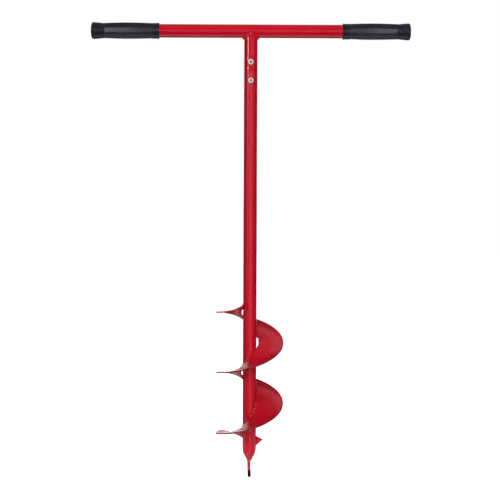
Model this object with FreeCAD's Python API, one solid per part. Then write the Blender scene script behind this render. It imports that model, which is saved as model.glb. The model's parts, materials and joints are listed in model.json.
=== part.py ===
import FreeCAD, Part
import math
import os

# A one-man T-handle hand auger, in millimetres.
# +Z runs up the shaft and X along the crossbar.
# The bolt heads face -Y, which is the front.
# The origin is on the shaft's axis, level with the pilot's tip.

V = FreeCAD.Vector
UP = V(0, 0, 1)
ALONG = V(1, 0, 0)
BACK = V(0, 1, 0)
SAME_WAY = 1

# Driving dimensions
flight_d = 150.0
pitch = 134.0
plate = 3.0
tube_d = 30.0
tube_wall = 2.5
crossbar_z = 990.0
handle_width = 711.0
grip_length = 152.0
joint_z = 900.0
bolt_spacing = 41.0
bolt_d = 8.0
pilot_tip_length = 16.0
pilot_length = 38.0
pilot_thick = 7.2
pilot_shift = 0.9
tip_shift = 0.5
tooth_reach = 15.0

# Clearances
paint_gap = 0.1
bolt_play = 0.25
grip_play = 0.2

# Derived sizes
tube_r = tube_d / 2
bore_r = tube_r - tube_wall
flight_r = flight_d / 2
rise = pitch / (2 * math.pi)
plate_half = plate / 2

# The flight. Angles run from +X towards +Y and on upwards, turn after turn, and the plate's
# height is measured from where the angle is 0.
flight_z0 = 97.6 - pitch / 2
bottom_end = math.radians(150)
first_seam = math.radians(380)
second_seam = math.radians(740)
top_end_inner = math.radians(970)
top_end_outer = math.radians(915)
rim_lean = 0.93
dish = 0.9
end_lean = 0.33
end_lean_from = math.radians(190)
seam_half = 1.0
seam_proud = 0.4
seam_from = 0.05
seam_to = 0.99
inner_clear = 0.6
inner_gaps = [0.2, 0.6, 2.6, 4.2, 2.6, 2.6]
weld_leg_out = 5.2
weld_leg_up = 3.2
weld_lift = 0.5
steps_per_turn = 36
dish_steps = 6
seam_steps = 9


def save(name, shape):
    """Writes one node's solid, or its group of solids, after a check that it is sound."""
    if not shape.isValid():
        raise ValueError(name + " is not a valid shape")
    shape.exportStep(os.path.join("parts", name + ".step"))
    print("%-22s %10.1f mm3, %d solid(s)" % (name, shape.Volume, len(shape.Solids)))


def cylinder(radius, length, base, direction):
    """A cylinder from base along direction."""
    return Part.makeCylinder(radius, length, base, direction)


def ring(outer, inner, length, base, direction):
    """A straight piece of tube."""
    return cylinder(outer, length, base, direction).cut(cylinder(inner, length, base, direction))


def revolve_x(points):
    """A closed outline of (x, radius) points turned about the crossbar's axis, at z = 0."""
    corners = [V(x, 0, r) for x, r in points]
    face = Part.Face(Part.makePolygon(corners + corners[:1]))
    return face.revolve(V(0, 0, 0), ALONG, 360)


def spline(points, params):
    """A smooth edge through the points, at the stated parameters."""
    curve = Part.BSplineCurve()
    curve.interpolate(Points=points, Parameters=params)
    return curve.toShape()


def closed_solid(faces):
    """A solid from faces that close on each other."""
    shell = Part.makeShell(faces)
    shell.sewShape()
    solid = Part.makeSolid(shell)
    if solid.Volume < 0:
        solid.reverse()
    return solid


def between(a, b, share):
    return a + (b - a) * share


def smooth(share):
    """A share from 0 to 1 that starts and ends gently."""
    return share * share * (3 - 2 * share)


def steps(turn, least):
    """How many steps a curve takes over an angle."""
    return max(least, int(round(abs(turn) * steps_per_turn / (2 * math.pi))))


def strip(corners, count):
    """A four-sided solid in count steps. corners is a list of functions that each give a point of
    the section's outline for a share from 0 to 1 along the strip."""
    shares = [i / count for i in range(count + 1)]
    edges = [spline([corner(s) for s in shares], shares) for corner in corners]
    faces = [Part.makeRuledSurface(a, b, SAME_WAY) for a, b in zip(edges, edges[1:] + edges[:1])]
    for share in (0.0, 1.0):
        loop = [corner(share) for corner in corners]
        near = Part.makeLine(loop[0], loop[1])
        far = Part.makeLine(loop[3], loop[2])
        faces.append(Part.makeRuledSurface(near, far, SAME_WAY))
    return closed_solid(faces)


def inner_radius(angle):
    """The plate's inner edge touches the shaft in front and behind. At the sides it stands off, by
    a little more on each half turn up to the second seam."""
    half_turns = max(0.0, angle / math.pi - 1)
    step = min(int(half_turns), len(inner_gaps) - 2)
    share = half_turns - step
    gap = between(inner_gaps[step], inner_gaps[step + 1], smooth(share))
    return tube_r + inner_clear + gap * math.cos(angle) ** 2


def ring_lean(angle):
    """How much each turn leans: the same all the way up, and more at the very bottom, where the
    plate's leading end is turned up."""
    share = (end_lean_from - angle) / (end_lean_from - bottom_end)
    return rim_lean + end_lean * smooth(min(1.0, max(0.0, share)))


def plate_point(share, angle, offset):
    """A point of the flight: share 0 is its inner edge and 1 its rim, offset is along the plate's
    normal from its middle. Each turn is a ring that leans, so the rim climbs fastest at +X and
    lies nearly flat at -X, and the plate is steepest beside the shaft."""
    inner = inner_radius(angle)
    radius = inner + share * (flight_r - inner)
    lean = ring_lean(angle) * share * (1 + dish * (1 - share))
    lean_change = ring_lean(angle) * (1 + dish * (1 - 2 * share))
    slope_out = rise * lean_change * math.sin(angle) / (flight_r - inner)
    climb = rise * (1 + lean * math.cos(angle))
    radial = V(math.cos(angle), math.sin(angle), 0)
    around = V(-math.sin(angle), math.cos(angle), 0)
    normal = UP - radial * slope_out - around * (climb / radius)
    normal.normalize()
    height = flight_z0 + rise * (angle + lean * math.sin(angle))
    return radial * radius + UP * height + normal * offset


def flight_section(inner_angles, outer_angles):
    """One plate of the flight, between two angles on its inner edge and two on its rim."""
    count = steps(inner_angles[1] - inner_angles[0], 6)

    def skin(offset):
        rows = []
        for i in range(count + 1):
            inner = between(inner_angles[0], inner_angles[1], i / count)
            outer = between(outer_angles[0], outer_angles[1], i / count)
            shares = [j / dish_steps for j in range(dish_steps + 1)]
            rows.append([plate_point(s, between(inner, outer, s), offset) for s in shares])
        surface = Part.BSplineSurface()
        surface.interpolate(rows)
        return surface

    def border(surface):
        u0, u1, v0, v1 = surface.bounds()
        curves = [surface.vIso(v0), surface.vIso(v1), surface.uIso(u0), surface.uIso(u1)]
        return [curve.toShape() for curve in curves]

    top = skin(plate_half)
    bottom = skin(-plate_half)
    faces = [top.toShape(), bottom.toShape()]
    faces += [Part.makeRuledSurface(a, b, SAME_WAY) for a, b in zip(border(top), border(bottom))]
    return closed_solid(faces)


def seam_ends(seam, side):
    """The angles on the inner edge and on the rim where a plate stops beside a seam."""
    gap = seam_half + paint_gap
    return seam + side * gap / inner_radius(seam), seam + side * gap / flight_r


def seam_weld(seam):
    """The butt weld that fills the seam between two plates, a little proud of both."""
    proud = plate_half + seam_proud
    edge_in = seam_half / between(inner_radius(seam), flight_r, seam_from)
    edge_out = seam_half / flight_r

    def corner(side, offset):
        def point(share):
            half = between(edge_in, edge_out, share)
            return plate_point(between(seam_from, seam_to, share), seam + side * half, offset)
        return point

    corners = [corner(-1, proud), corner(1, proud), corner(1, -proud), corner(-1, -proud)]
    return strip(corners, seam_steps)


def on_tube(point):
    """The same height and angle, moved on to the shaft's surface."""
    out = V(point.x, point.y, 0)
    out.normalize()
    return out * (tube_r + paint_gap) + UP * point.z


def inner_weld(start, end):
    """A fillet weld on the plate's upper side, along its inner edge, between two angles."""
    def angle(s):
        return between(start, end, s)

    def leg_share(s):
        inner = inner_radius(angle(s))
        return (tube_r + weld_leg_out - inner) / (flight_r - inner)

    base = plate_half + weld_lift

    def root(s):
        return on_tube(plate_point(0, angle(s), base))

    def crest(s):
        return on_tube(plate_point(0, angle(s), base + weld_leg_up))

    def belly(s):
        return plate_point(0.55 * leg_share(s), angle(s), base + 0.6 * weld_leg_up)

    def toe(s):
        return plate_point(leg_share(s), angle(s), base)

    return strip([root, crest, belly, toe], steps(end - start, 4))


# Crossbar and grips
crossbar_half = handle_width / 2 - 6


def make_crossbar():
    start = V(-crossbar_half, 0, crossbar_z)
    return ring(tube_r, bore_r, 2 * crossbar_half, start, ALONG)


def make_grip(side):
    """A closed-end rubber sleeve, waisted at a groove near its closed end and again at its mouth."""
    outline = [(0.0, 12.0), (1.2, 16.2), (3.0, 18.0), (6.7, 19.0), (13.3, 18.4), (20.0, 17.7),
               (26.0, 17.4), (26.5, 16.9), (29.0, 16.9), (29.5, 17.5), (40.0, 17.9), (55.0, 18.5),
               (83.0, 18.9), (109.0, 18.3), (127.0, 17.7), (140.0, 17.3), (149.0, 17.3),
               (149.4, 17.9), (grip_length, 17.9)]
    bore = tube_r + grip_play
    end_wall = 5.5
    inside = [(grip_length, bore), (end_wall, bore), (end_wall, 0.0), (0.0, 0.0)]
    sleeve = revolve_x(outline + inside)
    sleeve.translate(V(-handle_width / 2, 0, 0))
    if side > 0:
        sleeve.rotate(V(0, 0, 0), UP, 180)
    sleeve.translate(V(0, 0, crossbar_z))
    return sleeve


# Stub, shaft, coupler and fasteners
stub_top = crossbar_z - 7.0
bolt_heights = {"lower": joint_z - bolt_spacing / 2, "upper": joint_z + bolt_spacing / 2}
seam_gap = 0.4


def bolt_holes():
    """Both bolt holes, right through front to back."""
    radius = bolt_d / 2 + bolt_play
    holes = [cylinder(radius, 4 * tube_r, V(0, -2 * tube_r, z), BACK) for z in bolt_heights.values()]
    return Part.makeCompound(holes)


def make_stub():
    start = joint_z + seam_gap / 2
    tube = ring(tube_r, bore_r, stub_top - start, V(0, 0, start), UP)
    cope = cylinder(tube_r + paint_gap, 4 * tube_r, V(-2 * tube_r, 0, crossbar_z), ALONG)
    return tube.cut(cope).cut(bolt_holes())


def saddle(angle):
    """The line where the stub meets the crossbar, at an angle round the stub."""
    saddle_share = 0.88
    across = saddle_share * tube_r * math.sin(angle)
    drop = math.sqrt(tube_r ** 2 - across ** 2)
    return V(tube_r * math.cos(angle), tube_r * math.sin(angle), crossbar_z - drop)


def make_handle_weld():
    """The fillet round the top of the stub: an eight-sided bead along the saddle line, less both
    tubes."""
    bead_r = 3.8
    sides = 8
    count = 36

    def corner(step, side):
        angle = 2 * math.pi * step / count
        ahead = saddle(angle + 0.01) - saddle(angle - 0.01)
        out = V(math.cos(angle), math.sin(angle), 0)
        up = out.cross(ahead)
        up.normalize()
        turn = 2 * math.pi * (side + 0.5) / sides
        return saddle(angle) + out * (bead_r * math.cos(turn)) + up * (bead_r * math.sin(turn))

    edges = []
    for side in range(sides):
        curve = Part.BSplineCurve()
        curve.interpolate(Points=[corner(step, side) for step in range(count)], PeriodicFlag=True)
        edges.append(curve.toShape())
    pairs = zip(edges, edges[1:] + edges[:1])
    bead = closed_solid([Part.makeRuledSurface(a, b, SAME_WAY) for a, b in pairs])
    bead = bead.cut(cylinder(tube_r + paint_gap, 80, V(-40, 0, crossbar_z), ALONG))
    return bead.cut(cylinder(tube_r + paint_gap, 100, V(0, 0, crossbar_z - 60), UP))


def make_coupler():
    reach = 45.0
    outer = bore_r - paint_gap
    sleeve = ring(outer, outer - tube_wall, 2 * reach, V(0, 0, joint_z - reach), UP)
    return sleeve.cut(bolt_holes())


def ellipse_wire(across, deep, z):
    """A level ellipse, across along X and deep along Y, always starting from the same side."""
    if deep > across:
        curve = Part.Ellipse(V(0, deep, z), V(-across, 0, z), V(0, 0, z))
    else:
        curve = Part.Circle(V(0, 0, z), UP, deep)
        curve.rotate(FreeCAD.Placement(V(0, 0, 0), FreeCAD.Rotation(UP, 90)))
    return Part.Wire(curve.toShape())


pinch_top = 66.0
pinch_end = 40.5
pinch_sections = [(pinch_top, 15.0, 15.0), (60.5, 14.8, 15.2), (55.5, 14.1, 16.1), (50.5, 12.2, 17.9),
                  (45.5, 9.6, 19.7), (pinch_end, 6.6, 21.0)]


def pinch(inset):
    """The shaft's lower end, squeezed from round to a flat oval, less inset all round."""
    wires = [ellipse_wire(a - inset, b - inset, z) for z, a, b in pinch_sections]
    return Part.makeLoft(wires, True, False)


def make_shaft():
    top = joint_z - seam_gap / 2
    outer = cylinder(tube_r, top - pinch_top, V(0, 0, pinch_top), UP).fuse(pinch(0))
    inner = cylinder(bore_r, top - pinch_top, V(0, 0, pinch_top), UP).fuse(pinch(tube_wall))
    return outer.cut(inner).cut(bolt_holes())


head_d = 14.0
head_h = 4.4
socket_across = 5.0
nut_across = 13.0
nut_h = 8.0
collar_h = 2.4
washer_d = 16.0
washer_t = 1.6
bolt_length = 45.0
washer_front = tube_r + paint_gap
nut_front = washer_front + washer_t + 0.05
thread_r = bolt_d / 2 + paint_gap


def hexagon(across, depth, y):
    """A hexagonal prism that runs from y towards +Y on the shaft's axis."""
    radius = across / math.sqrt(3)
    angles = [math.pi * i / 3 for i in range(7)]
    points = [V(radius * math.cos(a), y, radius * math.sin(a)) for a in angles]
    return Part.Face(Part.makePolygon(points)).extrude(BACK * depth)


def make_bolt(z):
    """A button-head socket bolt, its head in front and its plain shank through to the back."""
    seat = -tube_r - 0.02
    top_r = 4.0
    rim_r = head_d / 2
    crown = V(top_r + 2.0, seat - 0.72 * head_h, 0)
    outline = [Part.makeLine(V(0, seat, 0), V(rim_r, seat, 0)),
               Part.Arc(V(rim_r, seat, 0), crown, V(top_r, seat - head_h, 0)).toShape(),
               Part.makeLine(V(top_r, seat - head_h, 0), V(0, seat - head_h, 0)),
               Part.makeLine(V(0, seat - head_h, 0), V(0, seat, 0))]
    head = Part.Face(Part.Wire(outline)).revolve(V(0, 0, 0), BACK, 360)
    head = head.cut(hexagon(socket_across, 3.0, seat - head_h))
    bolt = head.fuse(cylinder(bolt_d / 2, bolt_length, V(0, seat, 0), BACK)).removeSplitter()
    bolt.translate(V(0, 0, z))
    return bolt


def make_washer(z):
    return ring(washer_d / 2, bolt_d / 2 + bolt_play, washer_t, V(0, washer_front, z), BACK)


def insert_size():
    """The nylon ring's outer radius, front face and depth inside the nut's collar."""
    return nut_across / 2 - 1.4, nut_front + nut_h - collar_h + 0.4, 1.6


def make_nut(z):
    """A lock nut: a hexagon with a round collar behind that holds the nylon ring."""
    body = hexagon(nut_across, nut_h - collar_h, nut_front)
    rounder = cylinder(nut_across / 2 * 1.1, nut_h, V(0, nut_front, 0), BACK)
    body = body.common(rounder)
    collar = cylinder(nut_across / 2 - 0.4, collar_h, V(0, nut_front + nut_h - collar_h, 0), BACK)
    radius, front, depth = insert_size()
    pocket = cylinder(radius + 0.05, depth + 0.1, V(0, front - 0.05, 0), BACK)
    nut = body.fuse(collar).cut(cylinder(thread_r, nut_h, V(0, nut_front, 0), BACK)).cut(pocket)
    nut.translate(V(0, 0, z))
    return nut


def make_insert(z):
    radius, front, depth = insert_size()
    return ring(radius, thread_r, depth, V(0, front, z), BACK)


# Side cutter
tooth_thick = 4.0
tooth_root_angles = (math.radians(62), math.radians(4))


def tooth_root(angle, z):
    return V(tube_r * math.cos(angle), tube_r * math.sin(angle), z)


tooth_high = tooth_root(tooth_root_angles[0], 93.5)
tooth_low = tooth_root(tooth_root_angles[1], 70)
tooth_tip = V(tube_r + tooth_reach, 5, 83)
tooth_normal = (tooth_low - tooth_high).cross(tooth_tip - tooth_high)
tooth_normal.normalize()


def make_side_cutter():
    """A small slanted triangular tooth. Its root lies on the shaft, its leading edge low in front."""
    back = tooth_normal * (tooth_thick / -2)
    outline = [corner + back for corner in (tooth_tip, tooth_high, tooth_low, tooth_tip)]
    blade = Part.Face(Part.makePolygon(outline)).extrude(tooth_normal * tooth_thick)
    return blade.cut(cylinder(tube_r + paint_gap, 60, V(0, 0, 50), UP))


def make_side_cutter_weld():
    """The fillet weld on the tooth's lower side, where it meets the shaft."""
    def on_tooth(angle, radius, drop):
        x = radius * math.cos(angle)
        y = radius * math.sin(angle)
        off_plane = -tooth_thick / 2 - paint_gap - drop
        flat = tooth_normal.x * (x - tooth_tip.x) + tooth_normal.y * (y - tooth_tip.y)
        return V(x, y, tooth_tip.z + (off_plane - flat) / tooth_normal.z)

    def corner(radius, drop):
        start = tooth_root_angles[1] + math.radians(16)
        end = tooth_root_angles[0] - math.radians(4)
        return lambda s: on_tooth(between(start, end, s), radius, drop)

    near = tube_r + paint_gap
    corners = [corner(near, 0), corner(near, 3.0), corner(near + 1.5, 1.6), corner(near + 2.8, 0)]
    return strip(corners, 6)


# Pilot
spade_half = 17.0
tongue_half = 8.5
tongue_thick = 6.4
tongue_top = 64.0
point_half = 3.2


def pilot_slab(low, high):
    """The pilot's thickness as seen from the front: an upright tongue in the pinched end, and a
    point that leans a little below it."""
    tongue = tongue_thick / 2
    half = pilot_thick / 2
    side = [(-tongue, tongue_top), (tongue, tongue_top), (tongue, pilot_length),
            (half - pilot_shift, pilot_length), (half + tip_shift, 0), (tip_shift - half, 0),
            (-half - pilot_shift, pilot_length), (-tongue, pilot_length)]
    corners = [V(x, -40, z) for x, z in side]
    slab = Part.Face(Part.makePolygon(corners + corners[:1])).extrude(BACK * 80)
    window = Part.makeBox(80, 80, high - low, V(-40, -40, low))
    return slab.common(window)


def pilot_outline():
    """The pilot as seen from the side: a tongue held in the shaft over a spear point."""
    side = [(tongue_half, tongue_top), (tongue_half, pilot_length), (spade_half, pilot_length - 1),
            (spade_half, 27), (point_half, 0)]
    mirrored = [(-y, z) for y, z in reversed(side)]
    corners = [V(-40, y, z) for y, z in side + mirrored]
    return Part.Face(Part.makePolygon(corners + corners[:1])).extrude(ALONG * 80)


def make_pilot_blade():
    return pilot_slab(pilot_tip_length, tongue_top).common(pilot_outline())


def make_pilot_tip():
    """The hardened end. Its lower edges are rounded across its thickness."""
    tip = pilot_slab(0, pilot_tip_length - 0.05).common(pilot_outline())
    low = [e for e in tip.Edges if e.BoundBox.ZMax < 0.01 and e.BoundBox.YLength > 1]
    return tip.makeFillet(2.4, low)


def make_pilot_weld():
    """The weld that closes the shaft's pinched end round the pilot's shoulders."""
    top = ellipse_wire(6.5, 20.7, pinch_end - paint_gap / 2)
    bottom = ellipse_wire(4.7, 18.2, pilot_length - 2)
    return Part.makeLoft([bottom, top], True, False).cut(make_pilot_blade())


def main():
    os.makedirs("parts", exist_ok=True)
    save("crossbar_tube", make_crossbar())
    save("left_grip", make_grip(-1))
    save("right_grip", make_grip(1))
    save("handle_stub_tube", make_stub())
    save("handle_weld_bead", make_handle_weld())
    save("coupler_sleeve", make_coupler())
    save("shaft_tube", make_shaft())
    for place, z in bolt_heights.items():
        save(place + "_bolt", make_bolt(z))
        save(place + "_washer", make_washer(z))
        save(place + "_lock_nut", make_nut(z))
        save(place + "_nut_insert", make_insert(z))
    low_in, low_out = seam_ends(first_seam, -1)
    mid_in, mid_out = seam_ends(first_seam, 1)
    save("lower_flight", flight_section((bottom_end, low_in), (bottom_end, low_out)))
    next_in, next_out = seam_ends(second_seam, -1)
    save("middle_flight", flight_section((mid_in, next_in), (mid_out, next_out)))
    last_in, last_out = seam_ends(second_seam, 1)
    save("upper_flight", flight_section((last_in, top_end_inner), (last_out, top_end_outer)))
    save("lower_seam_weld", seam_weld(first_seam))
    save("upper_seam_weld", seam_weld(second_seam))
    welds = {"bottom": (152, 180), "lower_front": (192, 392), "lower_back": (420, 482),
             "upper_front": (552, 662), "upper_back": (778, 842), "top": (912, 972)}
    for place, (start, end) in welds.items():
        save("flight_weld_" + place, inner_weld(math.radians(start), math.radians(end)))
    save("side_cutter", make_side_cutter())
    save("side_cutter_weld", make_side_cutter_weld())
    save("pilot_blade", make_pilot_blade())
    save("pilot_tip", make_pilot_tip())
    save("pilot_weld", make_pilot_weld())


main()
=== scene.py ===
import bpy
import bmesh
import json
import math
from mathutils import Matrix, Vector, noise


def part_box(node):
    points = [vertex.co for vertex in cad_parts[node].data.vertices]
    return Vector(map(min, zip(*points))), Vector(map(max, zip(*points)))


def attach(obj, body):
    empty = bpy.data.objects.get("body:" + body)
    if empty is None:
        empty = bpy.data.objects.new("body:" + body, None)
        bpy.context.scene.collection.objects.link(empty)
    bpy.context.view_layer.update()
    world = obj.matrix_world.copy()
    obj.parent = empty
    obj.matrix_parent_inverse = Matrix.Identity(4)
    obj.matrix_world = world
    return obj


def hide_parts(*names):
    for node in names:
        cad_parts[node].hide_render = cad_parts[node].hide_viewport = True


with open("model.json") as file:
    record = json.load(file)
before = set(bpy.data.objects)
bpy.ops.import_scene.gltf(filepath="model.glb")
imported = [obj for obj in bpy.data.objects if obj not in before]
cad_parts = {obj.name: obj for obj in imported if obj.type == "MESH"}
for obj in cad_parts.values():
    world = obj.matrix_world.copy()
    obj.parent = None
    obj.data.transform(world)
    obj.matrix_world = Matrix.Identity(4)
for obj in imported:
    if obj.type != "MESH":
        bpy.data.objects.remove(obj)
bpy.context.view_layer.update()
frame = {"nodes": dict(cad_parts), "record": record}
scene = bpy.context.scene
nodes = frame["nodes"]
MM = 0.001


# ---------------------------------------------------------------- places, read from the frame
def middle_z(node):
    """The height of the middle of a node's box."""
    low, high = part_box(node)
    return (low.z + high.z) / 2


bar_z = middle_z("crossbar_tube")
bar_low, bar_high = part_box("crossbar_tube")
bar_r = (bar_high.z - bar_low.z) / 2
low_bolt_z = middle_z("lower_bolt")
high_bolt_z = middle_z("upper_bolt")
bolt_low, bolt_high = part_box("upper_bolt")
bolt_head_r = (bolt_high.x - bolt_low.x) / 2
flight_low, flight_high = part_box("middle_flight")
flight_r = max(flight_high.x, -flight_low.x)
grip_low, grip_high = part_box("right_grip")
grip_length = grip_high.x - grip_low.x


# ---------------------------------------------------------------- material helpers
class Look:
    """A node material under construction, in object space, which is metres in the part's frame."""

    def __init__(self, name):
        self.material = bpy.data.materials.new(name)
        self.material.use_nodes = True
        self.tree = self.material.node_tree
        self.shader = self.tree.nodes["Principled BSDF"]
        self.coords = self.tree.nodes.new("ShaderNodeTexCoord")

    def set(self, **values):
        """Shader inputs by name, an underscore standing for a space."""
        for name, value in values.items():
            self.shader.inputs[name.replace("_", " ")].default_value = value

    def node(self, kind, **values):
        """A new node. Each value is a property of it where it has one of that name, else an input."""
        made = self.tree.nodes.new("ShaderNode" + kind)
        for name, value in values.items():
            if hasattr(made, name):
                setattr(made, name, value)
            else:
                made.inputs[name].default_value = value
        return made

    def link(self, start, end):
        self.tree.links.new(start, end)

    def place(self, stretch=(1, 1, 1)):
        """Object coordinates, scaled per axis."""
        mapping = self.node("Mapping")
        mapping.inputs["Scale"].default_value = stretch
        self.link(self.coords.outputs["Object"], mapping.inputs["Vector"])
        return mapping.outputs["Vector"]

    def noise(self, scale, detail=4.0, roughness=0.55, stretch=(1, 1, 1)):
        """Noise of the stated number of lumps to a metre."""
        made = self.node("TexNoise", Scale=scale, Detail=detail, Roughness=roughness)
        self.link(self.place(stretch), made.inputs["Vector"])
        return made.outputs["Fac"]

    def ramp(self, source, stops):
        """Colours or grey levels at the stated places along source."""
        made = self.node("ValToRGB")
        marks = made.color_ramp.elements
        while len(marks) < len(stops):
            marks.new(0.5)
        for mark, (at, value) in zip(marks, stops):
            mark.position = at
            mark.color = (*value, 1) if isinstance(value, tuple) else (value, value, value, 1)
        self.link(source, made.inputs["Fac"])
        return made.outputs["Color"]

    def mix(self, share, first, second, blend="MIX"):
        """Two colours mixed. Each may be a socket or a plain colour."""
        made = self.node("Mix", data_type="RGBA", blend_type=blend)
        sockets = (made.inputs[0], made.inputs[6], made.inputs[7])
        for socket, value in zip(sockets, (share, first, second)):
            if isinstance(value, bpy.types.NodeSocket):
                self.link(value, socket)
            elif isinstance(value, tuple):
                socket.default_value = (*value, 1)
            else:
                socket.default_value = value
        return made.outputs[2]

    def math(self, operation, first, second):
        """A sum worked in the material. Each term may be a socket or a number."""
        made = self.node("Math", operation=operation)
        for socket, value in zip(made.inputs, (first, second)):
            if isinstance(value, bpy.types.NodeSocket):
                self.link(value, socket)
            else:
                socket.default_value = value
        return made.outputs[0]

    def from_axis(self):
        """Distance from the shaft's axis."""
        flat = self.node("VectorMath", operation="MULTIPLY")
        flat.inputs[1].default_value = (1, 1, 0)
        self.link(self.coords.outputs["Object"], flat.inputs[0])
        length = self.node("VectorMath", operation="LENGTH")
        self.link(flat.outputs[0], length.inputs[0])
        return length.outputs["Value"]

    def socket_shade_and_oil(self, centre_z, half_spacing):
        """Painted shade, with some oil in the sockets: nearly 1 in the two bolt sockets and at the rims
        of the heads, and 0 on the heads between.
        """
        split = self.node("SeparateXYZ")
        self.link(self.coords.outputs["Object"], split.inputs[0])
        up = self.math("ABSOLUTE", self.math("SUBTRACT", split.outputs["Z"], centre_z), 0.0)
        up = self.math("SUBTRACT", up, half_spacing)
        square = self.math("ADD", self.math("MULTIPLY", up, up),
                           self.math("MULTIPLY", split.outputs["X"], split.outputs["X"]))
        distance = self.math("POWER", square, 0.5)
        reach = self.math("DIVIDE", distance, bolt_head_r)
        # Painted shade in each socket and painted shadow round each head's rim.
        inside = self.ramp(reach, [(0.39, 1.0), (0.43, 0.0), (0.84, 0.0), (0.97, 0.8)])
        smear = self.ramp(self.noise(900, 5), [(0.3, 0.75), (0.6, 1.0)])
        return self.math("MULTIPLY", inside, smear)

    def bumps(self, *layers):
        """Bump layers, each (height, strength, distance), the finest last."""
        last = None
        for height, strength, distance in layers:
            bump = self.node("Bump", Strength=strength, Distance=distance)
            self.link(height, bump.inputs["Height"])
            if last is not None:
                self.link(last.outputs["Normal"], bump.inputs["Normal"])
            last = bump
        self.link(last.outputs["Normal"], self.shader.inputs["Normal"])

    def colour(self, socket):
        self.link(socket, self.shader.inputs["Base Color"])

    def roughness(self, socket):
        self.link(socket, self.shader.inputs["Roughness"])


# ---------------------------------------------------------------- materials
RED = (0.53, 0.0050, 0.019)
DEEP_RED = (0.47, 0.004, 0.016)
# Primer in paint chips, and also painted shade on the flight rims.
PRIMER_AND_RIM_SHADE = (0.13, 0.010, 0.012)
# Exposed steel at the flight rims, darkened as painted shade of the plate edges.
RIM_STEEL_AND_SHADE = (0.12, 0.075, 0.07)
# The dark of the bolt sockets and head rims: painted shade, with some oil in the sockets.
SHADE_AND_OIL = (0.045, 0.028, 0.026)


def enamel(name, gloss, rub=0.0, rim=False):
    """Baked red enamel. gloss is its lowest roughness, rub is how far soil has dulled it, and rim
    darkens a cut plate's outer edge with darker paint and exposed steel: partly wear, partly painted
    shade of the plate's shaded edge."""
    look = Look(name)
    look.set(Specular_IOR_Level=0.5, Coat_Weight=0.35, Coat_Roughness=0.06)
    film = look.ramp(look.noise(9, 3), [(0.3, DEEP_RED), (0.7, RED)])
    grain = look.ramp(look.noise(1400, 2), [(0.35, 0.93), (0.65, 1.0)])
    film = look.mix(1.0, film, grain, "MULTIPLY")
    chips = look.ramp(look.noise(260, 8, 0.7), [(0.70, 0.0), (0.72, 1.0)])
    film = look.mix(chips, film, PRIMER_AND_RIM_SHADE)
    # Darker paint and exposed steel round the plate's outer edge: partly wear, partly painted shade of
    # the shaded edge.
    if rim:
        reach = look.math("DIVIDE", look.from_axis(), flight_r)
        edge = look.ramp(reach, [(0.978, 0.0), (0.99, 1.0)])
        thin_paint_and_shade = look.ramp(look.noise(70, 6), [(0.30, 0.55), (0.62, 1.0)])
        film = look.mix(look.math("MULTIPLY", edge, thin_paint_and_shade), film, PRIMER_AND_RIM_SHADE)
        bare = look.ramp(look.noise(160, 8, 0.7), [(0.60, 0.0), (0.66, 1.0)])
        film = look.mix(look.math("MULTIPLY", edge, bare), film, RIM_STEEL_AND_SHADE)
    look.colour(film)
    smear = look.noise(40, 6, 0.6, (1, 1, 0.25))
    look.roughness(look.ramp(smear, [(0.3, gloss), (0.75, gloss + 0.10 + rub)]))
    peel = look.noise(420, 2)
    scratch = look.noise(900, 3, 0.5, (1, 1, 0.04))
    sag = look.noise(30, 2)
    look.bumps((sag, 0.10, 0.6 * MM), (peel, 0.05, 0.20 * MM), (scratch, 0.05, 0.05 * MM))
    return look.material


def weld_paint(name):
    """Enamel pooled over rippled weld, darker in the hollows."""
    look = Look(name)
    look.set(Specular_IOR_Level=0.5, Coat_Weight=0.5, Coat_Roughness=0.05)
    pool = look.noise(500, 4)
    look.colour(look.ramp(pool, [(0.3, DEEP_RED), (0.6, RED)]))
    look.roughness(look.ramp(look.noise(300, 4), [(0.3, 0.14), (0.7, 0.30)]))
    look.bumps((look.noise(700, 3), 0.3, 0.3 * MM), (look.noise(2200, 2), 0.1, 0.06 * MM))
    return look.material


def rubber(name):
    """Black moulded rubber, satin, with a fine pebble and a little dust in it."""
    look = Look(name)
    look.set(Specular_IOR_Level=0.5, Specular_Tint=(0.90, 0.87, 1.0, 1))
    look.set(Sheen_Weight=0.04, Sheen_Roughness=0.5)
    base = look.ramp(look.noise(120, 5), [(0.3, (0.010, 0.010, 0.014)), (0.7, (0.017, 0.016, 0.022))])
    dust = look.ramp(look.noise(1800, 6, 0.75), [(0.66, 0.0), (0.80, 0.22)])
    look.colour(look.mix(dust, base, (0.09, 0.088, 0.095)))
    look.roughness(look.ramp(look.noise(90, 5), [(0.3, 0.26), (0.7, 0.36)]))
    look.bumps((look.noise(60, 2), 0.08, 0.3 * MM), (look.noise(3400, 2), 0.16, 0.06 * MM))
    return look.material


def plated(name, tint, low, high, tarnish, shine=1.0, sockets=None):
    """Zinc or oiled steel, with turned and handled marks. Its roughness runs from low to high.
    sockets gives the middle height and half the spacing of two front sockets, which get painted shade
    and some oil, with painted shadow round the heads."""
    look = Look(name)
    look.set(Metallic=shine)
    dull = tuple(channel * tarnish for channel in tint)
    cloud = look.ramp(look.noise(420, 5), [(0.35, tint), (0.75, dull)])
    if sockets:
        # Painted shade, with some oil, in the sockets and round the head rims.
        cloud = look.mix(look.socket_shade_and_oil(*sockets), cloud, SHADE_AND_OIL)
    look.colour(cloud)
    look.roughness(look.ramp(look.noise(700, 6), [(0.3, low), (0.7, high)]))
    turned = look.noise(3000, 2, 0.5, (1, 0.1, 1))
    look.bumps((look.noise(900, 3), 0.12, 0.1 * MM), (turned, 0.1, 0.04 * MM))
    return look.material


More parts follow.
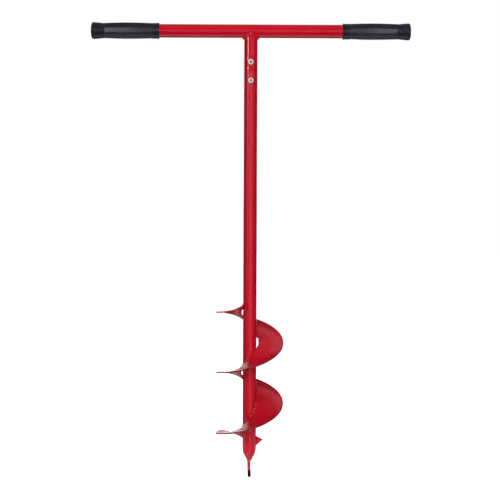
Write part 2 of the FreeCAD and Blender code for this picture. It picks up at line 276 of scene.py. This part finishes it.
def black_steel(name):
    """The hardened point, black from the quench, rubbed greyer in streaks."""
    look = Look(name)
    look.set(Metallic=0.6)
    quench = [(0.4, (0.006, 0.006, 0.007)), (0.8, (0.030, 0.029, 0.028))]
    look.colour(look.ramp(look.noise(500, 6), quench))
    look.roughness(look.ramp(look.noise(380, 5), [(0.3, 0.30), (0.7, 0.55)]))
    look.bumps((look.noise(800, 4), 0.25, 0.15 * MM), (look.noise(3000, 2), 0.1, 0.04 * MM))
    return look.material


def nylon(name):
    """The natural, slightly cloudy nylon of a lock nut's ring."""
    look = Look(name)
    look.set(Specular_IOR_Level=0.45, Subsurface_Weight=0.1)
    look.colour(look.ramp(look.noise(600, 3), [(0.3, (0.62, 0.62, 0.58)), (0.7, (0.74, 0.74, 0.70))]))
    look.roughness(look.ramp(look.noise(900, 3), [(0.3, 0.38), (0.7, 0.52)]))
    look.bumps((look.noise(1500, 2), 0.15, 0.08 * MM))
    return look.material


looks = {
    "red_enamel": enamel("red_enamel", 0.12),
    "red_enamel_shaft": enamel("red_enamel_shaft", 0.24, rub=0.08),
    "red_enamel_flight": enamel("red_enamel_flight", 0.28, rub=0.10, rim=True),
    "weld_enamel": weld_paint("weld_enamel"),
    "grip_rubber": rubber("grip_rubber"),
    "zinc_bolt": plated("zinc_bolt", (0.80, 0.72, 0.71), 0.22, 0.40, 0.85, shine=0.4,
                        sockets=((low_bolt_z + high_bolt_z) / 2, (high_bolt_z - low_bolt_z) / 2)),
    "zinc_nut": plated("zinc_nut", (0.76, 0.75, 0.72), 0.26, 0.44, 0.80, shine=0.5),
    "bare_steel": plated("bare_steel", (0.42, 0.40, 0.38), 0.30, 0.50, 0.70),
    "black_steel": black_steel("black_steel"),
    "nylon": nylon("nylon"),
}
slot_of = {part["node"]: part["material_slot"] for part in frame["record"]["subparts"]}


def paint(piece, slot):
    """Gives a piece its slot's material and no other."""
    piece.data.materials.clear()
    piece.data.materials.append(looks[slot])


# ---------------------------------------------------------------- mesh helpers
BEAD_LUMP = 1.1 * MM
SMALL_LUMP = 0.5 * MM
SEAM_LUMP = 0.15 * MM
SEAM_DROP = 4.5 * MM
BEAD_VOXEL = 0.55 * MM
SMOOTHING_PASSES = 4
# An edge sharper than this was cut, and is rounded over.
CUT_EDGE = math.radians(40)
# Edges sharper than these stay crisp in the shading.
PLATE_CREASE = math.radians(35)
GRIP_CREASE = math.radians(38)
BEAD_CREASE = math.radians(80)
# Lumps to a metre, for the two sizes of roughness on a weld.
COARSE = 260
FINE = 600


def add_piece(name, mesh, node):
    """A finished mesh that stands for a CAD node, on its body and in its slot."""
    piece = bpy.data.objects.new(name, mesh)
    scene.collection.objects.link(piece)
    paint(piece, slot_of[node])
    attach(piece, "root")
    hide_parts(node)
    return piece


def copy_of(node):
    """The node's mesh as one welded bmesh."""
    work = bmesh.new()
    work.from_mesh(nodes[node].data)
    bmesh.ops.remove_doubles(work, verts=work.verts, dist=0.002 * MM)
    return work


def finish_mesh(work, name, crease):
    """The worked mesh, smooth except along edges sharper than crease."""
    mesh = bpy.data.meshes.new(name)
    work.to_mesh(mesh)
    work.free()
    for face in mesh.polygons:
        face.use_smooth = True
    mesh.set_sharp_from_angle(angle=crease)
    return mesh


def points_outwards(edge):
    """Whether an edge runs straight out from the shaft, as those of a butted end do."""
    start, end = (vert.co.xy for vert in edge.verts)
    span = end - start
    return span.length > 0 and abs(span.normalized().dot(((start + end) / 2).normalized())) > 0.9


def rounded_plate(node, radius):
    """The CAD plate with its cut edges rounded over, as paint and grinding leave them."""
    work = copy_of(node)
    sharp = [edge for edge in work.edges if len(edge.link_faces) == 2
             and edge.calc_face_angle() > CUT_EDGE and not points_outwards(edge)]
    bmesh.ops.bevel(work, geom=sharp, offset=radius, segments=3, profile=0.5, affect="EDGES",
                    clamp_overlap=True)
    return add_piece(node + "_painted", finish_mesh(work, node + "_painted", PLATE_CREASE), node)


def remeshed(node, voxel):
    """A CAD solid as an even mesh, ready to be worked."""
    work = copy_of(node)
    mesh = bpy.data.meshes.new(node + "_even")
    work.to_mesh(mesh)
    work.free()
    scratch = bpy.data.objects.new(node + "_even", mesh)
    scene.collection.objects.link(scratch)
    modifier = scratch.modifiers.new("even", "REMESH")
    modifier.mode = "VOXEL"
    modifier.voxel_size = voxel
    shown = scratch.evaluated_get(bpy.context.evaluated_depsgraph_get())
    even = bpy.data.meshes.new_from_object(shown)
    bpy.data.objects.remove(scratch)
    return even


def weld_bead(node, drops_to, seed, lump=BEAD_LUMP):
    """A weld laid in overlapping drops: evened out and smoothed, then swollen and pinched along its
    length. drops_to gives how many drops lie between the bead's start and a point."""
    mesh = remeshed(node, BEAD_VOXEL)
    work = bmesh.new()
    work.from_mesh(mesh)
    bpy.data.meshes.remove(mesh)
    for _ in range(SMOOTHING_PASSES):
        bmesh.ops.smooth_vert(work, verts=work.verts, factor=0.5, use_axis_x=True, use_axis_y=True,
                              use_axis_z=True)
    work.normal_update()
    shift = Vector((seed * 1.7, seed * 0.9, seed * 2.3))
    for vert in work.verts:
        drop = abs(math.sin(math.pi * drops_to(vert.co)))
        rough = noise.noise(vert.co * COARSE + shift) + 0.5 * noise.noise(vert.co * FINE + shift)
        vert.co += vert.normal * (lump * (0.75 * drop - 0.15 + 0.55 * rough))
    return add_piece(node + "_laid", finish_mesh(work, node + "_laid", BEAD_CREASE), node)


def round_turns(drops):
    """Drops counted round the shaft, so many to a turn."""
    return lambda co: drops * math.atan2(co.y, co.x) / (2 * math.pi)


def outwards(drop):
    """Drops counted outwards from the shaft's axis, each of the stated width."""
    return lambda co: math.hypot(co.x, co.y) / drop


# ---------------------------------------------------------------- grips
# All in millimetres, and places are measured from the grip's outer end.
FACETS = 8
AROUND = 192
LENGTH = grip_length / MM
CENTRE_R = 0.03
BORE_R = bar_r / MM + 0.2
BORE_CHAMFER = 0.4
MOUTH_R = 16.6
END_WALL = 5.5
FLUTED_FROM = 29.6
FLUTED_TO = 138.0
# How far the facets stand over true flats, how steeply they run out at either end, and how the ridge
# where a facet meets the round outline is rounded.
FACET_CROWN = 0.20
RUN_IN = 1.6
RUN_OUT = 0.30
RIDGE_ROUNDING = 0.35
# The round outline: a superellipse at the cap, a waist, then the body's long swell.
CAP_LENGTH = 6.7
CAP_FACE_R = 5.0
CAP_R = 19.0
CAP_POWER = 2.5
BODY_FROM = 25.6
BODY_FULLEST = 83.0
BODY_TO = 140.0
BODY_END_R = 17.35
BODY_SWELL = 1.55
# Place, half width and height of each ring: two grooves and the lip at the mouth.
RINGS = ((11.0, 2.2, -0.5), (27.7, 1.75, -0.85), (150.3, 1.75, 0.65))


def outline_radius(at):
    """The round outline's radius at a place along the grip."""
    if at < CAP_LENGTH:
        off = (CAP_LENGTH - at) / CAP_LENGTH
        r = CAP_FACE_R + (CAP_R - CAP_FACE_R) * (1 - off ** CAP_POWER) ** (1 / CAP_POWER)
    elif at < BODY_FROM:
        eased = (1 + math.cos(math.pi * (at - CAP_LENGTH) / (BODY_FROM - CAP_LENGTH))) / 2
        r = BODY_END_R + (CAP_R - BODY_END_R) * eased
    else:
        span = BODY_FULLEST - BODY_FROM if at < BODY_FULLEST else BODY_TO - BODY_FULLEST
        off = min(1.0, abs(at - BODY_FULLEST) / span)
        r = BODY_END_R + BODY_SWELL * math.cos(off * math.pi / 2)
    for place, half_width, height in RINGS:
        r += height * max(0.0, 1 - ((at - place) / half_width) ** 4)
    return r


def stations():
    """Where the lathe rows stand: close together at the cap, the grooves and the mouth."""
    cap = [CAP_LENGTH * (1 - math.cos(math.pi / 2 * k / 9)) for k in range(9)]
    waist = [CAP_LENGTH + 0.6 * k for k in range(40)]
    body = [FLUTED_FROM + 1.3 + 2.6 * k for k in range(39)]
    run_out = [FLUTED_TO - 1.1 * k for k in range(8)]
    mouth = [FLUTED_TO + 2.0 * k for k in range(1, 6)] + [148.4 + 0.35 * k for k in range(11)]
    return sorted(cap + waist + body + run_out + mouth)


def fluted_radius(at, angle):
    """The outline with eight soft facets cut into it, which run out in a curve at each end."""
    r = outline_radius(at)
    facet = 2 * math.pi / FACETS
    off = abs((angle + facet / 2) % facet - facet / 2)
    flat = r * math.cos(facet / 2) / math.cos(off) + FACET_CROWN
    run = max(0.0, min((FLUTED_TO - at) * RUN_OUT, (at - FLUTED_FROM) * RUN_IN))
    depth = r - max(flat, r - run)
    return r - depth * depth / (depth + RIDGE_ROUNDING) if depth > 0 else r


def grip(node, name, side):
    """One grip, made as lathe rows round the crossbar. side is -1 for the left and 1 for the right."""
    end_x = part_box(node)[1].x if side > 0 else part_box(node)[0].x
    rings = [(0.0, lambda angle: CENTRE_R)]
    rings += [(at, lambda angle, at=at: fluted_radius(at, angle)) for at in stations()]
    rings += [(LENGTH, lambda angle: MOUTH_R), (LENGTH, lambda angle: BORE_R + BORE_CHAMFER),
              (LENGTH - BORE_CHAMFER, lambda angle: BORE_R), (END_WALL, lambda angle: BORE_R),
              (END_WALL, lambda angle: CENTRE_R)]
    work = bmesh.new()
    rows = []
    for at, radius in rings:
        row = []
        for step in range(AROUND):
            angle = 2 * math.pi * step / AROUND
            r = radius(angle) * MM
            place = (end_x - side * at * MM, -r * math.cos(angle), bar_z + r * math.sin(angle))
            row.append(work.verts.new(place))
        rows.append(row)
    for here, there in zip(rows, rows[1:]):
        for step in range(AROUND):
            after = (step + 1) % AROUND
            work.faces.new((here[step], here[after], there[after], there[step]))
    work.faces.new(rows[0])
    work.faces.new(rows[-1])
    bmesh.ops.recalc_face_normals(work, faces=work.faces)
    return add_piece(name, finish_mesh(work, name, GRIP_CREASE), node)


left_grip = grip("left_grip", "left_grip_moulded", -1)
right_grip = grip("right_grip", "right_grip_moulded", 1)

# ---------------------------------------------------------------- welds
for node in ("flight_weld_bottom", "flight_weld_lower_front", "flight_weld_lower_back",
             "flight_weld_upper_front", "flight_weld_upper_back", "flight_weld_top"):
    weld_bead(node, round_turns(drops=22), seed=len(node) * 0.7)
weld_bead("handle_weld_bead", round_turns(drops=18), seed=3.1)
for node, seed in (("lower_seam_weld", 5.3), ("upper_seam_weld", 6.1)):
    weld_bead(node, outwards(SEAM_DROP), seed, lump=SEAM_LUMP)
weld_bead("side_cutter_weld", round_turns(drops=20), seed=7.7, lump=SMALL_LUMP)
weld_bead("pilot_weld", round_turns(drops=14), seed=8.9, lump=SMALL_LUMP)

# ---------------------------------------------------------------- plates
FLIGHT_EDGE_R = 0.45 * MM
TOOTH_EDGE_R = 0.5 * MM
for node in ("lower_flight", "middle_flight", "upper_flight"):
    rounded_plate(node, FLIGHT_EDGE_R)
for node in ("side_cutter", "pilot_blade"):
    rounded_plate(node, TOOTH_EDGE_R)

# ---------------------------------------------------------------- CAD nodes that stay
for name, piece in nodes.items():
    if not piece.hide_render:
        paint(piece, slot_of[name])
for name in ("upper_washer", "lower_washer", "upper_lock_nut", "lower_lock_nut"):
    softened = nodes[name].modifiers.new("softened", "BEVEL")
    softened.width = 0.25 * MM
    softened.segments = 2
    softened.limit_method = "ANGLE"


# ---------------------------------------------------------------- floor, light, camera
FLOOR_HALF = 300.0
FLOOR_DROP = 0.002
FLOOR_GLOW = 1.1


def stage_floor():
    """A plain white floor, wide enough to have no edge in view. Only the camera sees it, so that it
    tints nothing."""
    work = bmesh.new()
    corners = [(-1, -1), (1, -1), (1, 1), (-1, 1)]
    work.faces.new([work.verts.new((x * FLOOR_HALF, y * FLOOR_HALF, 0)) for x, y in corners])
    mesh = bpy.data.meshes.new("floor")
    work.to_mesh(mesh)
    work.free()
    floor = bpy.data.objects.new("floor", mesh)
    scene.collection.objects.link(floor)
    look = Look("floor_white")
    look.set(Emission_Color=(1, 1, 1, 1), Emission_Strength=FLOOR_GLOW, Specular_IOR_Level=0.0)
    look.colour(look.ramp(look.noise(2, 3), [(0.3, (0.80, 0.80, 0.80)), (0.7, (0.82, 0.82, 0.82))]))
    look.roughness(look.ramp(look.noise(5, 3), [(0.3, 0.8), (0.7, 0.9)]))
    floor.data.materials.append(look.material)
    floor.location.z = -FLOOR_DROP
    floor.visible_diffuse = False
    floor.visible_glossy = False


def softbox(name, place, aim, size, power, mirrored=True, lit=True):
    """An area light that the camera doesn't see, size being its width and height in metres. With
    mirrored off it lights surfaces but shows in no gloss, as a broad bank of lamps does. With lit
    off it shows in gloss only, as a reflector does."""
    data = bpy.data.lights.new(name, "AREA")
    data.shape = "RECTANGLE"
    data.size, data.size_y = size
    data.energy = power
    lamp = bpy.data.objects.new(name, data)
    scene.collection.objects.link(lamp)
    lamp.location = place
    lamp.visible_camera = False
    lamp.visible_glossy = mirrored
    lamp.visible_diffuse = lit
    lamp.rotation_euler = (Vector(aim) - Vector(place)).to_track_quat("-Z", "Y").to_euler()
    return lamp


def only(name, *pieces):
    """A collection that limits a light to the stated pieces."""
    group = bpy.data.collections.new(name)
    for piece in pieces:
        group.objects.link(piece)
    return group


stage_floor()
# Broad banks that light the paint.
softbox("front_fill", (0.3, -3.6, 1.15), (0, 0, 0.5), (2.4, 2.2), 118, mirrored=False)
softbox("top_fill", (0, -0.8, 3.2), (0, 0, 0.5), (2.6, 2.0), 30, mirrored=False)
softbox("low_fill", (1.2, -2.2, 0.05), (0, 0, 0.35), (0.9, 0.5), 9, mirrored=False)
softbox("back_fill", (0, 3.6, 1.15), (0, 0, 0.5), (2.4, 2.2), 95, mirrored=False)
# Boxes and strips that also show in the gloss.
softbox("back_box", (1.9, 3.4, 1.5), (0, 0, 0.6), (0.5, 1.6), 9)
softbox("high_box", (0.5, 1.1, 3.0), (0.2, 0, 0.3), (2.2, 0.9), 3.3)
softbox("left_strip", (-3.0, -2.7, 1.68), (0, 0, 0.95), (0.34, 0.86), 24)
softbox("right_strip", (3.0, -2.7, 1.60), (0, 0, 0.98), (0.20, 0.30), 5)
softbox("floor_bounce", (0, 0.08, 0.01), (0, 0.08, 1), (1.8, 0.8), 3.2)
# Reflectors behind, seen at a glance along the tube and in the flight.
softbox("far_wall", (-0.4, 3.2, 0.5), (-0.4, 0, 0.5), (3.4, 1.0), 17, lit=False)
softbox("far_left", (-1.4, 3.1, 1.55), (0, 0, 0.3), (1.7, 1.1), 6, lit=False)
# Lamps that reach the grips or the bolts and nothing else.
for side, receivers in ((-1, only("left_only", left_grip)), (1, only("right_only", right_grip))):
    grip_box = softbox("grip_box", (side * 0.90, -4.0, 1.43), (side * 0.3, 0, 1.0), (0.36, 0.18), 12)
    grip_box.light_linking.receiver_collection = receivers
bolts_only = only("bolts_only", nodes["upper_bolt"], nodes["lower_bolt"])
bolt_box = softbox("bolt_box", (-0.5, -3.0, 2.2), (0, 0, 0.9), (1.6, 1.0), 24)
bolt_box.light_linking.receiver_collection = bolts_only

world = bpy.data.worlds.new("studio")
scene.world = world
world.use_nodes = True
surround = world.node_tree.nodes["Background"]
surround.inputs["Color"].default_value = (1, 1, 1, 1)
surround.inputs["Strength"].default_value = 1.0
world.cycles_visibility.diffuse = False
world.cycles_visibility.glossy = False
scene.view_settings.view_transform = "Standard"

# The camera stands square in front, and VIEW_WIDTH is what it takes in at the shaft, in metres. Its
# roll splits the difference between the lean of the photo's shaft and its level crossbar.
CAMERA_DISTANCE = 4.4
CAMERA_HEIGHT = 0.504
VIEW_WIDTH = 1.111
SENSOR_WIDTH = 36
ROLL = math.radians(0.25)
lens = bpy.data.cameras.new("camera")
lens.sensor_width = SENSOR_WIDTH
lens.lens = SENSOR_WIDTH * CAMERA_DISTANCE / VIEW_WIDTH
lens.clip_end = 1000
camera = bpy.data.objects.new("camera", lens)
scene.collection.objects.link(camera)
camera.matrix_world = (Matrix.Translation((0, -CAMERA_DISTANCE, CAMERA_HEIGHT))
                       @ Matrix.Rotation(math.radians(90), 4, "X") @ Matrix.Rotation(ROLL, 4, "Z"))
scene.camera = camera
